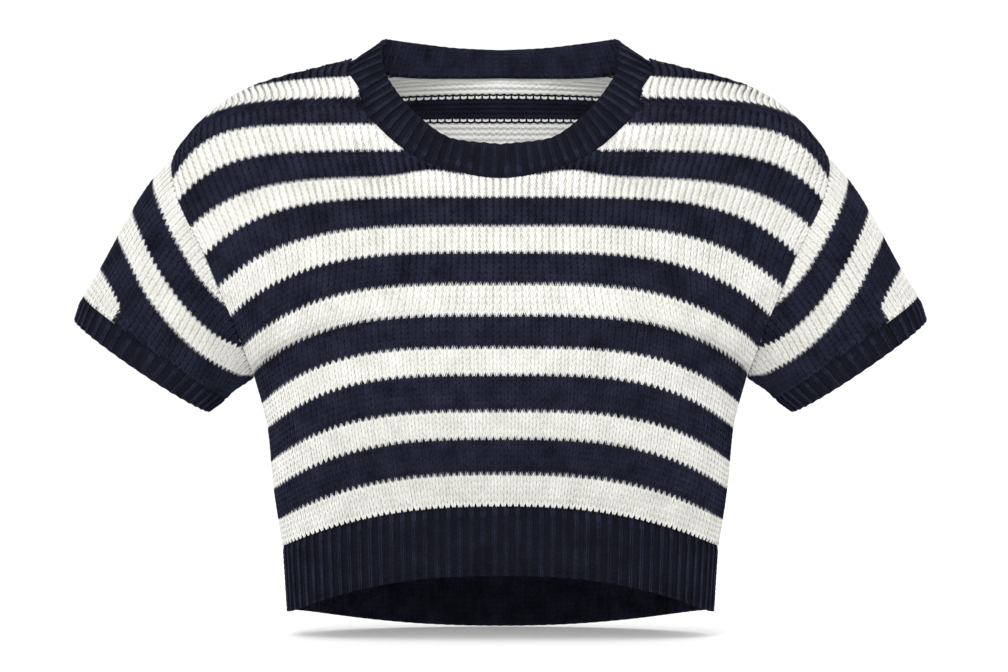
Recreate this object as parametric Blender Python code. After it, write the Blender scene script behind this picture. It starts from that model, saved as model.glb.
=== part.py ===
# Cropped, boxy, short-sleeved sweater in a chunky stocking stitch with ribbed edges.
# It is filled out as it is worn, and hollow: neck, cuffs and hem are open.
# Metres, +Z up. The front faces -Y, and +X is on the right seen from the front.
# The origin is where the shoulders hold it: midway between the highest points of the neckband.
# Pieces: front and back panels, two sleeves, two cuffs, neckband, front and back hem ribs.

import math
from collections import namedtuple

import bmesh
import bpy
import numpy as np

MM = 0.001

# Cloth and seams
WALL = 2.4 * MM
SEAM_GAP = 0.3 * MM
RIB_RISE = 1.7 * MM

# Knitting: a panel is 90 stitches wide. Rows are counted up from the hem rib.
STITCH = 6.0 * MM
ROW = 4.76 * MM
HALF_STITCHES = 45.0
UNDERARM_ROW = 32.0
ARMHOLE_TOP_ROW = 75.0
SHOULDER_NECK_ROW = 88.0
NECK_HALF_STITCHES = 20.0
FRONT_NECK_ROW = 59.5
BACK_NECK_ROW = 80.0

# Ribs, each one knit column and one purl column wide
HEM_RIBS = 48
CUFF_RIBS = 40
RIB_AT_SEAM = 0.5
RIB_AT_EDGE = 0.9

# Mesh steps. The neckband has 5 columns to each neck step in front and 4 behind: 72 ribs in all.
NECK_STEPS = 8
FRONT_BAND_SPLITS = 5
BACK_BAND_SPLITS = 4
SHOULDER_STEPS = 7
SIDE_STEPS = 8
ARMHOLE_STEPS = 12
SLEEVE_STEPS = 7
HEM_STEPS = 3
CUFF_STEPS = 2
BAND_STEPS = 2
CURVE_SAMPLES = 160
ROW_SLACK = 0.002
WAY_STEP = 0.4
SAME_POINT = 0.02 * MM
SMOOTH_BELOW = math.radians(50)

NAVY = (0.011, 0.014, 0.032, 1.0)
CREAM = (0.85, 0.84, 0.79, 1.0)

# Edge of both panels, row by row in millimetres: the side seam up to the underarm, the armhole
# up to its top, then the shoulder seam back to the neck. depth is how far the edge stands off
# the side plane, and stitches is how many stitches from the centre it lies.
Edge = namedtuple("Edge", "row x depth z stitches")
EDGE = [
    Edge(0, 186, 0, -429, 45),
    Edge(11, 193, 0, -382, 45),
    Edge(22, 198, 0, -331, 45),
    Edge(32, 209, 0, -289, 45),
    Edge(34.5, 212, 21, -278, 45),
    Edge(38, 217, 37, -262, 45),
    Edge(44, 226, 54, -236, 45),
    Edge(49, 236, 61, -212, 45),
    Edge(55, 247, 63, -185, 45),
    Edge(60, 259, 60, -162, 45),
    Edge(66, 270, 51, -139, 45),
    Edge(71, 276, 36, -120, 45),
    Edge(73.6, 278.5, 20, -108, 45),
    Edge(75, 279, 0, -101, 45),
    Edge(77, 252, 0, -66, 41.5),
    Edge(82, 215, 0, -41, 34),
    Edge(88, 126.5, 0, -16, 20),
]

# Middle of each panel, row by row in millimetres: how far it stands out, its height, how
# strongly the rows drop only near the edge (fall), and the shape of the row seen from above.
Middle = namedtuple("Middle", "row depth z fall flat round")
FRONT_MIDDLE = [
    Middle(0, 92, -392.4, 2.4, 2.2, 2.15),
    Middle(5, 105, -366, 2.7, 2.2, 2.15),
    Middle(11, 120, -336.5, 3.0, 2.2, 2.15),
    Middle(16, 128, -314, 3.3, 2.2, 2.15),
    Middle(22, 135, -284, 3.5, 2.2, 2.15),
    Middle(27, 137, -262, 3.6, 2.2, 2.15),
    Middle(33, 136, -235.5, 3.6, 2.2, 2.05),
    Middle(38, 132, -210, 3.6, 2.2, 1.8),
    Middle(44, 125, -184, 3.8, 2.2, 1.5),
    Middle(49, 116, -162, 4.2, 2.2, 1.3),
    Middle(55, 103, -138, 5.0, 2.2, 1.15),
    Middle(60, 89, -121, 6.0, 2.3, 1.0),
    Middle(66, 72, -98, 8.0, 2.5, 1.0),
    Middle(71, 60, -75.5, 11.0, 2.8, 1.0),
    Middle(77, 44, -52, 9.0, 3.2, 1.0),
    Middle(82, 29, -33, 5.0, 3.9, 1.0),
    Middle(88, 10, -15, 2.0, 3.0, 1.0),
]
BACK_MIDDLE = [
    Middle(0, 92, -449, 2.2, 2.2, 2.15),
    Middle(5, 103, -420, 2.4, 2.2, 2.15),
    Middle(16, 121, -357, 2.6, 2.2, 2.15),
    Middle(27, 126, -298, 2.8, 2.2, 2.15),
    Middle(33, 125, -268, 3.0, 2.2, 2.05),
    Middle(38, 123, -239, 3.2, 2.2, 1.8),
    Middle(49, 115, -181, 3.6, 2.2, 1.3),
    Middle(60, 102, -124, 4.2, 2.2, 1.0),
    Middle(71, 83, -66.5, 3.6, 2.0, 1.0),
    Middle(77, 67, -42, 2.2, 1.6, 1.0),
    Middle(82, 56, -20, 1.0, 1.2, 1.0),
    Middle(88, 30, -6, 1.0, 1.0, 1.0),
]

# Soft vertical folds where spare cloth gathers, in stitches and rows from each panel's centre
Fold = namedtuple("Fold", "stitch row width height depth lean")
FOLD_END = 8
FRONT_FOLDS = [
    Fold(38.0, 6.0, 1.6, 11.0, -3.2, 0.02),
    Fold(40.5, 26.0, 2.2, 10.0, -3.0, 0.25),
    Fold(33.0, 44.0, 3.4, 13.0, -2.6, -0.32),
]
BACK_FOLDS = [
    Fold(37.0, 8.0, 1.8, 12.0, -3.4, 0.05),
    Fold(40.0, 28.0, 2.4, 10.0, -3.2, 0.2),
    Fold(31.0, 48.0, 3.2, 14.0, -3.0, -0.3),
]

# Rings of the sleeve end and the cuff's open end, in millimetres: the outermost point, the
# underarm point, half the depth from front to back, and how far the front lies further down
# the arm than the back does
Ring = namedtuple("Ring", "x_out z_out x_in z_in half_depth lean")
CUFF_SEAM = Ring(355.5, -219.5, 232.0, -306.5, 50.0, 1.0)
CUFF_EDGE = Ring(362.0, -240.0, 248.0, -318.0, 46.0, 2.6)

# Slope in which the cloth leaves the shoulder for the sleeve, outward and up
SHOULDER_WAY = (0.74, -0.67)

# Open end of the hem, in millimetres: half width, height at the side seams, and how far its
# middle stands out and at what height
HemEdge = namedtuple("HemEdge", "x side_z depth middle_z fall")
HEM_EDGE_FRONT = HemEdge(181, -487, 93, -451, 2.4)
HEM_EDGE_BACK = HemEdge(181, -487, 93, -507, 2.2)
HEM_TUCK = 2.5 * MM
HEM_FLAT = 2.2
HEM_ROUND = 2.15

# Neckband's free edge, half of it from the front middle round to the back middle, in
# millimetres; turn is the share of the way round
BandEdge = namedtuple("BandEdge", "turn x y z")
BAND_EDGE = [
    BandEdge(0.00, 0, -81, -94),
    BandEdge(0.11, 38, -76, -89.5),
    BandEdge(0.22, 68, -62, -70),
    BandEdge(0.32, 86, -44, -49),
    BandEdge(0.42, 97, -21, -27),
    BandEdge(0.50, 99, -2, -8),
    BandEdge(0.58, 94, 17, 0),
    BandEdge(0.73, 68, 43, -1.5),
    BandEdge(0.86, 36, 55, -4.5),
    BandEdge(1.00, 0, 58, -5.6),
]
BAND_CROWN = 2.0 * MM


def smooth(rows, column, at):
    """The named column of a table, read at any row by a curve that never overshoots."""
    rows_at = np.array([row[0] for row in rows], float)
    values = np.array([getattr(row, column) for row in rows], float)
    step = np.diff(rows_at)
    slope = np.diff(values) / step
    tangent = np.zeros(len(values))
    for i in range(1, len(values) - 1):
        if slope[i - 1] * slope[i] > 0:
            weight_a = 2 * step[i] + step[i - 1]
            weight_b = step[i] + 2 * step[i - 1]
            tangent[i] = (weight_a + weight_b) / (weight_a / slope[i - 1] + weight_b / slope[i])
    tangent[0] = slope[0]
    tangent[-1] = slope[-1]
    at = np.clip(at, rows_at[0], rows_at[-1])
    i = np.clip(np.searchsorted(rows_at, at, side="right") - 1, 0, len(step) - 1)
    t = (at - rows_at[i]) / step[i]
    return (
        (1 + 2 * t) * (1 - t) ** 2 * values[i]
        + t * (1 - t) ** 2 * step[i] * tangent[i]
        + t * t * (3 - 2 * t) * values[i + 1]
        - t * t * (1 - t) * step[i] * tangent[i + 1]
    )


def unit(vectors):
    return vectors / np.maximum(np.linalg.norm(vectors, axis=-1, keepdims=True), 1e-12)


def fold_depth(folds, stitch, row):
    total = 0.0
    for fold in folds:
        across = (stitch - fold.stitch - fold.lean * (row - fold.row)) / fold.width
        along = (row - fold.row) / fold.height
        total += fold.depth * math.exp(-across * across - along * along)
    return total


def course_point(middle_table, folds, back, stitch, row):
    """Where a stitch of a panel lies. stitch is counted from the centre, to the right."""
    edge_x = smooth(EDGE, "x", row)
    edge_depth = smooth(EDGE, "depth", row)
    edge_z = smooth(EDGE, "z", row)
    edge_stitch = smooth(EDGE, "stitches", row)
    depth = smooth(middle_table, "depth", row)
    middle_z = smooth(middle_table, "z", row)
    fall = smooth(middle_table, "fall", row)
    flat = smooth(middle_table, "flat", row)
    roundness = smooth(middle_table, "round", row)
    share = np.linspace(0, 1, CURVE_SAMPLES)
    ends = np.sin(share * math.pi / 2)
    out = edge_depth + (depth - edge_depth) * np.maximum(1 - ends**flat, 0) ** (1 / roundness)
    x = edge_x * ends
    z = middle_z + (edge_z - middle_z) * ends**fall
    length = np.concatenate([[0], np.cumsum(np.hypot(np.hypot(np.diff(x), np.diff(out)), np.diff(z)))])
    at = min(abs(stitch) / edge_stitch, 1) * length[-1]
    here = np.array([np.interp(at, length, x), np.interp(at, length, out), np.interp(at, length, z)])
    if abs(stitch) > 1e-9 and folds:
        here[1] += fold_depth(folds, abs(stitch), row) * max(1 - (here[0] / edge_x) ** FOLD_END, 0)
    side = 1 if stitch >= 0 else -1
    return np.array([side * here[0], here[1] if back else -here[1], here[2]]) * MM


def top_row(back, stitch):
    """The last row of a column: the neckline, then the shoulder seam."""
    stitch = abs(stitch)
    if stitch >= NECK_HALF_STITCHES:
        rows = np.linspace(ARMHOLE_TOP_ROW, SHOULDER_NECK_ROW, CURVE_SAMPLES)
        row = np.interp(stitch, smooth(EDGE, "stitches", rows)[::-1], rows[::-1])
        return min(row + ROW_SLACK, SHOULDER_NECK_ROW)
    neck_row = BACK_NECK_ROW if back else FRONT_NECK_ROW
    share = stitch / NECK_HALF_STITCHES
    rise = 1 - math.sqrt(1 - share * share)
    return neck_row + (SHOULDER_NECK_ROW - neck_row) * rise


def column_stitches(back):
    """Stitch numbers of a panel's mesh columns, left to right, in even steps of the neckline."""
    fine = NECK_HALF_STITCHES * np.sin(np.linspace(0, math.pi / 2, CURVE_SAMPLES))
    rows = np.array([top_row(back, stitch) for stitch in fine])
    length = np.concatenate([[0], np.cumsum(np.hypot(np.diff(fine) * STITCH, np.diff(rows) * ROW))])
    neck = np.interp(np.linspace(0, length[-1], NECK_STEPS + 1), length, fine)
    neck[-1] = NECK_HALF_STITCHES
    shoulder = np.linspace(NECK_HALF_STITCHES, HALF_STITCHES, SHOULDER_STEPS + 1)[1:]
    half = np.concatenate([neck, shoulder])
    return np.concatenate([-half[:0:-1], half])


def row_shares():
    """Heights of a panel's mesh rows, as shares of each column: one of them is the underarm."""
    underarm = UNDERARM_ROW / ARMHOLE_TOP_ROW
    lower = np.linspace(0, underarm, SIDE_STEPS + 1)
    upper = np.linspace(underarm, 1, ARMHOLE_STEPS + 1)[1:]
    return np.concatenate([lower, upper])


def panel_points(back):
    """A panel's grid of points, and the way out at each of them."""
    table = BACK_MIDDLE if back else FRONT_MIDDLE
    folds = BACK_FOLDS if back else FRONT_FOLDS
    columns = column_stitches(back)
    points = []
    ways = []
    for share in row_shares():
        places = [(table, folds, back, stitch, share * top_row(back, stitch)) for stitch in columns]
        points.append([course_point(*place) for place in places])
        ways.append([course_way(*place) for place in places])
    return np.array(points), np.array(ways)


def arm_axis(ring, side):
    """The way out of a sleeve ring: down the arm, square to the ring."""
    return unit(np.array([side * (ring.z_out - ring.z_in), 0.0, ring.x_in - ring.x_out]))


def course_way(middle_table, folds, back, stitch, row):
    """The way out of a panel near a stitch, read just inside the panel's edges."""
    row = max(row - WAY_STEP, WAY_STEP)
    limit = smooth(EDGE, "stitches", row) - 2 * WAY_STEP
    stitch = min(max(stitch, -limit), limit)
    ends = []
    for across, along in ((1, 0), (-1, 0), (0, 1), (0, -1)):
        near = (stitch + across * WAY_STEP, row + along * WAY_STEP)
        ends.append(course_point(middle_table, folds, back, *near))
    return unit(np.cross(ends[0] - ends[1], ends[2] - ends[3])) * (-1 if back else 1)


def ring_point(ring, side, turn):
    """A point of a sleeve ring. turn runs from the underarm through the front, top and back."""
    angle = 2 * math.pi * turn
    x = (ring.x_in + ring.x_out) / 2 + (ring.x_in - ring.x_out) / 2 * math.cos(angle)
    z = (ring.z_in + ring.z_out) / 2 + (ring.z_in - ring.z_out) / 2 * math.cos(angle)
    on_ring = np.array([side * x, -ring.half_depth * math.sin(angle), z])
    return (on_ring + arm_axis(ring, side) * ring.lean * math.sin(angle)) * MM


def lengths_along(points):
    steps = np.linalg.norm(np.diff(points, axis=0), axis=1)
    return np.concatenate([[0], np.cumsum(steps)])


def along_line(points, shares, carried=None):
    """Points, or values carried by them, at shares of a line's length on its straight stretches."""
    length = lengths_along(points)
    at = np.asarray(shares) * length[-1]
    values = points if carried is None else carried
    return np.stack([np.interp(at, length, values[:, axis]) for axis in range(3)], axis=1)


def sleeve_points(front_edge, back_edge, side):
    """From the armhole (first row) to the cuff seam, round from the underarm over the front."""
    armhole = np.concatenate([front_edge, back_edge[-2::-1]])[:-1]
    shares = lengths_along(front_edge) / lengths_along(front_edge)[-1]
    turns = np.concatenate([shares / 2, 1 - shares[-2:0:-1] / 2])
    seam = np.array([ring_point(CUFF_SEAM, side, turn) for turn in turns])
    reach = np.linalg.norm(seam - armhole, axis=1, keepdims=True)
    leave = unit(np.array([side * SHOULDER_WAY[0], 0.0, SHOULDER_WAY[1]])) * reach
    arrive = arm_axis(CUFF_SEAM, side) * reach
    rows = []
    for t in np.linspace(0, 1, SLEEVE_STEPS + 1):
        from_armhole = (1 + 2 * t) * (1 - t) ** 2 * armhole + t * (1 - t) ** 2 * leave
        to_cuff = t * t * (3 - 2 * t) * seam - t * t * (1 - t) * arrive
        rows.append(from_armhole + to_cuff)
    return np.array(rows)


def hem_points(seam, edge, back):
    """Rib rows from the panel's lower edge down to the open end; every second column is a rib."""
    shares = np.linspace(0, 1, 2 * HEM_RIBS + 1)
    top = along_line(seam, shares)
    ends = np.sin((2 * shares - 1) * math.pi / 2)
    out = edge.depth * np.maximum(1 - np.abs(ends) ** HEM_FLAT, 0) ** (1 / HEM_ROUND)
    height = edge.middle_z + (edge.side_z - edge.middle_z) * np.abs(ends) ** edge.fall
    bottom = np.stack([edge.x * ends, out if back else -out, height], axis=1) * MM
    bottom = along_line(bottom, shares)
    rows = []
    for t in np.linspace(0, 1, HEM_STEPS + 1):
        row = top + (bottom - top) * t
        inward = unit(row * np.array([-1.0, -1.0, 0.0]))
        rows.append(row + inward * HEM_TUCK * 4 * t * (1 - t))
    return np.array(rows)


def cuff_points(seam, side):
    """Rib rows from the sleeve's end to the cuff's open end, round from the underarm."""
    shares = cuff_shares()
    top = along_line(closed(seam), shares)
    fine = np.array([ring_point(CUFF_EDGE, side, turn) for turn in np.linspace(0, 1, CURVE_SAMPLES)])
    bottom = along_line(fine, shares)
    return np.array([top + (bottom - top) * t for t in np.linspace(0, 1, CUFF_STEPS + 1)])


def cuff_shares():
    return np.linspace(0, 1, 2 * CUFF_RIBS + 1)[:-1]


def closed(line):
    return np.concatenate([line, line[:1]])


def band_edge_point(turn):
    """Free edge of the neckband. turn runs from 0 at the front middle to 1 at the back middle."""
    half = 1 - abs(1 - turn)
    point = [smooth(BAND_EDGE, axis, half) for axis in ("x", "y", "z")]
    return np.array([point[0] if turn <= 1 else -point[0], point[1], point[2]]) * MM


def split_line(points, splits):
    """A line of points, with each stretch between two of them cut into equal splits."""
    count = len(points) - 1
    at = np.linspace(0, count, count * splits + 1)
    return np.stack([np.interp(at, np.arange(count + 1), points[:, axis]) for axis in range(3)], axis=1)


def band_seam(front_neck, back_neck):
    """The necklines as the neckband meets them, from the left shoulder over the front and back."""
    front = split_line(front_neck, FRONT_BAND_SPLITS)
    back = split_line(back_neck[::-1], BACK_BAND_SPLITS)
    return np.concatenate([front[:-1], back[:-1]])


def band_points(seam):
    """Neckband rows from its seam to its free edge."""
    front_turns = np.linspace(-0.5, 0.5, 2 * NECK_STEPS * FRONT_BAND_SPLITS + 1)[:-1]
    back_turns = np.linspace(0.5, 1.5, 2 * NECK_STEPS * BACK_BAND_SPLITS + 1)[:-1]
    turns = np.concatenate([front_turns, back_turns]) % 2
    edge = np.array([band_edge_point(turn) for turn in turns])
    rows = np.array([seam + (edge - seam) * t for t in np.linspace(0, 1, BAND_STEPS + 1)])
    crown = band_crown(rows)
    for step in range(1, BAND_STEPS):
        t = step / BAND_STEPS
        rows[step] += crown * BAND_CROWN * 4 * t * (1 - t)
    return rows


def band_crown(rows):
    """The way out of the neckband, halfway up: up and away from the neck."""
    across = rows[-1] - rows[0]
    around = np.roll(rows[0] + rows[-1], -1, axis=0) - np.roll(rows[0] + rows[-1], 1, axis=0)
    return unit(np.cross(around, across))


def outward(grid, wrap, flip):
    """The way out of a grid of points, at each of its points."""
    if wrap:
        around = np.roll(grid, -1, axis=1) - np.roll(grid, 1, axis=1)
    else:
        around = np.gradient(grid, axis=1)
    up = np.gradient(grid, axis=0)
    return unit(np.cross(around, up)) * (-1 if flip else 1)


def key_of(point):
    return tuple(np.round(point / SAME_POINT).astype(int))


def share_seams(pieces):
    """Pieces that meet at a seam get one way out there, so that their edges lie face to face."""
    total = {}
    for grid, ways, borders in pieces:
        for border in borders:
            for point, way in zip(grid[border], ways[border]):
                total[key_of(point)] = total.get(key_of(point), 0) + way
    for grid, ways, borders in pieces:
        for border in borders:
            ways[border] = unit(np.array([total[key_of(point)] for point in grid[border]]))


def draw_in(base, ways, border, neighbour, wrap):
    """Draws a border back from its seam by half of the seam's gap, square to the seam."""
    line = base[border]
    if wrap:
        along = np.roll(line, -1, axis=0) - np.roll(line, 1, axis=0)
    else:
        along = np.gradient(line, axis=0)
    inward = unit(np.cross(ways[border], along))
    side = np.sign(np.sum(inward * (base[neighbour] - line), axis=1, keepdims=True))
    base[border] = line + inward * side * SEAM_GAP / 2


def wall_object(name, outer, inner, wrap, material, collection):
    """One closed wall between two grids of points, with its open borders closed by rims."""
    rows, columns = outer.shape[:2]
    points = np.concatenate([outer.reshape(-1, 3), inner.reshape(-1, 3)])
    last = columns if wrap else columns - 1
    faces = []

    def at(row, column, layer):
        return layer * rows * columns + row * columns + column % columns

    for row in range(rows - 1):
        for column in range(last):
            for layer in (0, 1):
                face = [
                    at(row, column, layer),
                    at(row, column + 1, layer),
                    at(row + 1, column + 1, layer),
                    at(row + 1, column, layer),
                ]
                faces.append(face if layer == 0 else face[::-1])
    for column in range(last):
        for row, turned in ((0, False), (rows - 1, True)):
            face = [at(row, column, 0), at(row, column, 1), at(row, column + 1, 1), at(row, column + 1, 0)]
            faces.append(face[::-1] if turned else face)
    if not wrap:
        for row in range(rows - 1):
            for column, turned in ((0, True), (columns - 1, False)):
                face = [at(row, column, 0), at(row, column, 1), at(row + 1, column, 1), at(row + 1, column, 0)]
                faces.append(face[::-1] if turned else face)
    mesh = bpy.data.meshes.new(name)
    mesh.from_pydata(points.tolist(), [], faces)
    shape = bmesh.new()
    shape.from_mesh(mesh)
    bmesh.ops.recalc_face_normals(shape, faces=shape.faces)
    bmesh.ops.triangulate(shape, faces=shape.faces, quad_method="SHORT_EDGE")
    shape.to_mesh(mesh)
    shape.free()
    mesh.shade_smooth()
    mesh.set_sharp_from_angle(angle=SMOOTH_BELOW)
    mesh.materials.append(material)
    piece = bpy.data.objects.new(name, mesh)
    collection.objects.link(piece)
    return piece


def yarn(name, colour):
    material = bpy.data.materials.new(name)
    material.use_nodes = True
    shader = material.node_tree.nodes["Principled BSDF"]
    shader.inputs["Base Color"].default_value = colour
    shader.inputs["Roughness"].default_value = 0.95
    shader.inputs["Metallic"].default_value = 0.0
    return material


def rib_rise(grid):
    """How far the ribs stand out of each point: every second column, less at the two ends."""
    rise = np.zeros(grid.shape[:2])
    rise[:, 1::2] = RIB_RISE
    rise[0] *= RIB_AT_SEAM
    rise[-1] *= RIB_AT_EDGE
    return rise[:, :, None]


def close_wall(name, base, ways, seams, wrap, rise, material, collection):
    """Draws the seams in, raises the ribs and makes the wall."""
    for border, neighbour in seams:
        draw_in(base, ways, border, neighbour, wrap)
    return wall_object(name, base + ways * rise, base - ways * WALL, wrap, material, collection)


# The model
for leftover in list(bpy.data.objects):
    bpy.data.objects.remove(leftover, do_unlink=True)
sweater = bpy.data.collections.new("sweater")
bpy.context.scene.collection.children.link(sweater)
navy_rib = yarn("navy_rib_knit", NAVY)
striped = yarn("striped_knit", CREAM)

FIRST_ROW = np.s_[0]
LAST_ROW = np.s_[-1]
LEFT = np.s_[:, 0]
RIGHT = np.s_[:, -1]
TOP_SEAM = (LAST_ROW, np.s_[-2])
LOW_SEAM = (FIRST_ROW, np.s_[1])
SIDE_SEAMS = [(LEFT, np.s_[:, 1]), (RIGHT, np.s_[:, -2])]
LEFT_SHOULDER = np.s_[-1, : SHOULDER_STEPS + 1]
RIGHT_SHOULDER = np.s_[-1, -SHOULDER_STEPS - 1 :]
NECK = np.s_[SHOULDER_STEPS:-SHOULDER_STEPS]

front, front_ways = panel_points(back=False)
back, back_ways = panel_points(back=True)
sleeves = []
for word, side, column in (("left", -1, 0), ("right", 1, -1)):
    grid = sleeve_points(front[SIDE_STEPS:, column], back[SIDE_STEPS:, column], side)
    sleeves.append((word, side, grid, outward(grid, wrap=True, flip=side > 0)))
panel_borders = [LEFT, RIGHT, LEFT_SHOULDER, RIGHT_SHOULDER]
share_seams(
    [(front, front_ways, panel_borders), (back, back_ways, panel_borders)]
    + [(grid, ways, [FIRST_ROW]) for word, side, grid, ways in sleeves]
)

front_hem = hem_points(front[0], HEM_EDGE_FRONT, back=False)
back_hem = hem_points(back[0], HEM_EDGE_BACK, back=True)
hem_shares = np.linspace(0, 1, 2 * HEM_RIBS + 1)
front_hem_ways = outward(front_hem, wrap=False, flip=True)
back_hem_ways = outward(back_hem, wrap=False, flip=False)
front_hem_ways[0] = unit(along_line(front[0], hem_shares, front_ways[0]))
back_hem_ways[0] = unit(along_line(back[0], hem_shares, back_ways[0]))
share_seams([(front_hem, front_hem_ways, [LEFT, RIGHT]), (back_hem, back_hem_ways, [LEFT, RIGHT])])

band = band_points(band_seam(front[-1, NECK], back[-1, NECK]))
band_ways = outward(band, wrap=True, flip=False)
band_ways[0] = unit(band_seam(front_ways[-1, NECK], back_ways[-1, NECK]))

for word, side, grid, ways in sleeves:
    cuff = cuff_points(grid[-1], side)
    cuff_ways = outward(cuff, wrap=True, flip=side > 0)
    cuff_ways[0] = unit(along_line(closed(grid[-1]), cuff_shares(), closed(ways[-1])))
    close_wall(f"cuff_{word}", cuff, cuff_ways, [LOW_SEAM], True, rib_rise(cuff), navy_rib, sweater)
    close_wall(f"sleeve_{word}", grid, ways, [LOW_SEAM, TOP_SEAM], True, 0.0, striped, sweater)

hem_rise = rib_rise(front_hem)
hem_seams = SIDE_SEAMS + [LOW_SEAM]
close_wall("hem_rib_front", front_hem, front_hem_ways, hem_seams, False, hem_rise, navy_rib, sweater)
close_wall("hem_rib_back", back_hem, back_hem_ways, hem_seams, False, hem_rise, navy_rib, sweater)
close_wall("neckband", band, band_ways, [LOW_SEAM], True, rib_rise(band), navy_rib, sweater)
panel_seams = SIDE_SEAMS + [LOW_SEAM, TOP_SEAM]
close_wall("front_panel", front, front_ways, panel_seams, False, 0.0, striped, sweater)
close_wall("back_panel", back, back_ways, panel_seams, False, 0.0, striped, sweater)
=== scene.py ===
# Looks of a cropped, boxy, short-sleeved sweater in thick stocking stitch: navy with off-white
# stripes, navy ribbed neckband, cuffs and hem. It is filled out as it is worn, and hollow.
# Every stitch of the outside is a pair of yarn legs, knitted flat and then draped over the cloth.

import math
from collections import namedtuple

import bpy
import numpy as np
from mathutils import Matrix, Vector


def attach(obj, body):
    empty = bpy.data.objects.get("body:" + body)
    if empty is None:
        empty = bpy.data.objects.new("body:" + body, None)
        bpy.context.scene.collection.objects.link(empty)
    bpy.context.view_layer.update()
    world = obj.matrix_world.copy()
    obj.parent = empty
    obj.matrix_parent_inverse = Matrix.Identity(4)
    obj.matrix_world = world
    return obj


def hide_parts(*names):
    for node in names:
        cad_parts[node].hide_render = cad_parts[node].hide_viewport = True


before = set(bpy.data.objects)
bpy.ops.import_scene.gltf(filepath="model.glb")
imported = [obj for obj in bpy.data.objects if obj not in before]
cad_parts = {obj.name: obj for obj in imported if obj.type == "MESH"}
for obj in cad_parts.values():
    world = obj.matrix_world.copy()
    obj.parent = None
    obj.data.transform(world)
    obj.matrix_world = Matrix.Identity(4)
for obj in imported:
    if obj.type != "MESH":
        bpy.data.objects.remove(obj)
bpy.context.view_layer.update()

# ---------------------------------------------------------------- front and back panels
# Two flat-knitted panels of thick wool, 90 stitches wide, sewn together at the sides and shoulders.
# Stripes of 5 off-white and 6 navy rows run across both and meet at the side seams. The outside
# shows V-shaped stitches, and the inside purl bumps.

MM = 0.001
STITCH = 6.0 * MM
ROW = 4.76 * MM
HALF_STITCHES = 45
UNDERARM_ROW = 32.0
ARMHOLE_TOP_ROW = 75.0
SHOULDER_NECK_ROW = 88.0
NECK_HALF_STITCHES = 20.0
FRONT_NECK_ROW = 59.5
BACK_NECK_ROW = 80.0
STRIPE_REPEAT = 11
WHITE_ROWS = 5

# Places are kept for every half stitch and half row, and curves are measured along 240 points. A
# height of zero lies YARN_SINK below the surface that the tables give.
GRID_STEP = 0.5
CURVE_SAMPLES = 240
YARN_SINK = 1.2 * MM

# Edge of both panels, row by row in millimetres: the side seam up to the underarm, the armhole
# up to its top, then the shoulder seam back to the neck
Edge = namedtuple("Edge", "row x depth z stitches")
EDGE = [
    Edge(0, 186, 0, -429, 45),
    Edge(11, 193, 0, -382, 45),
    Edge(22, 198, 0, -331, 45),
    Edge(32, 209, 0, -289, 45),
    Edge(34.5, 212, 21, -278, 45),
    Edge(38, 217, 37, -262, 45),
    Edge(44, 226, 54, -236, 45),
    Edge(49, 236, 61, -212, 45),
    Edge(55, 247, 63, -185, 45),
    Edge(60, 259, 60, -162, 45),
    Edge(66, 270, 51, -139, 45),
    Edge(71, 276, 36, -120, 45),
    Edge(73.6, 278.5, 20, -108, 45),
    Edge(75, 279, 0, -101, 45),
    Edge(77, 252, 0, -66, 41.5),
    Edge(82, 215, 0, -41, 34),
    Edge(88, 126.5, 0, -16, 20),
]

# Middle of each panel, row by row in millimetres, and the shape of the row seen from above
Middle = namedtuple("Middle", "row depth z fall flat round")
FRONT_MIDDLE = [
    Middle(0, 92, -392.4, 2.4, 2.2, 2.15),
    Middle(5, 105, -366, 2.7, 2.2, 2.15),
    Middle(11, 120, -336.5, 3.0, 2.2, 2.15),
    Middle(16, 128, -314, 3.3, 2.2, 2.15),
    Middle(22, 135, -284, 3.5, 2.2, 2.15),
    Middle(27, 137, -262, 3.6, 2.2, 2.15),
    Middle(33, 136, -235.5, 3.6, 2.2, 2.05),
    Middle(38, 132, -210, 3.6, 2.2, 1.8),
    Middle(44, 125, -184, 3.8, 2.2, 1.5),
    Middle(49, 116, -162, 4.2, 2.2, 1.3),
    Middle(55, 103, -138, 5.0, 2.2, 1.15),
    Middle(60, 89, -121, 6.0, 2.3, 1.0),
    Middle(66, 72, -98, 8.0, 2.5, 1.0),
    Middle(71, 60, -75.5, 11.0, 2.8, 1.0),
    Middle(77, 44, -52, 9.0, 3.2, 1.0),
    Middle(82, 29, -33, 5.0, 3.9, 1.0),
    Middle(88, 10, -15, 2.0, 3.0, 1.0),
]
BACK_MIDDLE = [
    Middle(0, 92, -449, 2.2, 2.2, 2.15),
    Middle(5, 103, -420, 2.4, 2.2, 2.15),
    Middle(16, 121, -357, 2.6, 2.2, 2.15),
    Middle(27, 126, -298, 2.8, 2.2, 2.15),
    Middle(33, 125, -268, 3.0, 2.2, 2.05),
    Middle(38, 123, -239, 3.2, 2.2, 1.8),
    Middle(49, 115, -181, 3.6, 2.2, 1.3),
    Middle(60, 102, -124, 4.2, 2.2, 1.0),
    Middle(71, 83, -66.5, 3.6, 2.0, 1.0),
    Middle(77, 67, -42, 2.2, 1.6, 1.0),
    Middle(82, 56, -20, 1.0, 1.2, 1.0),
    Middle(88, 30, -6, 1.0, 1.0, 1.0),
]

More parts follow.
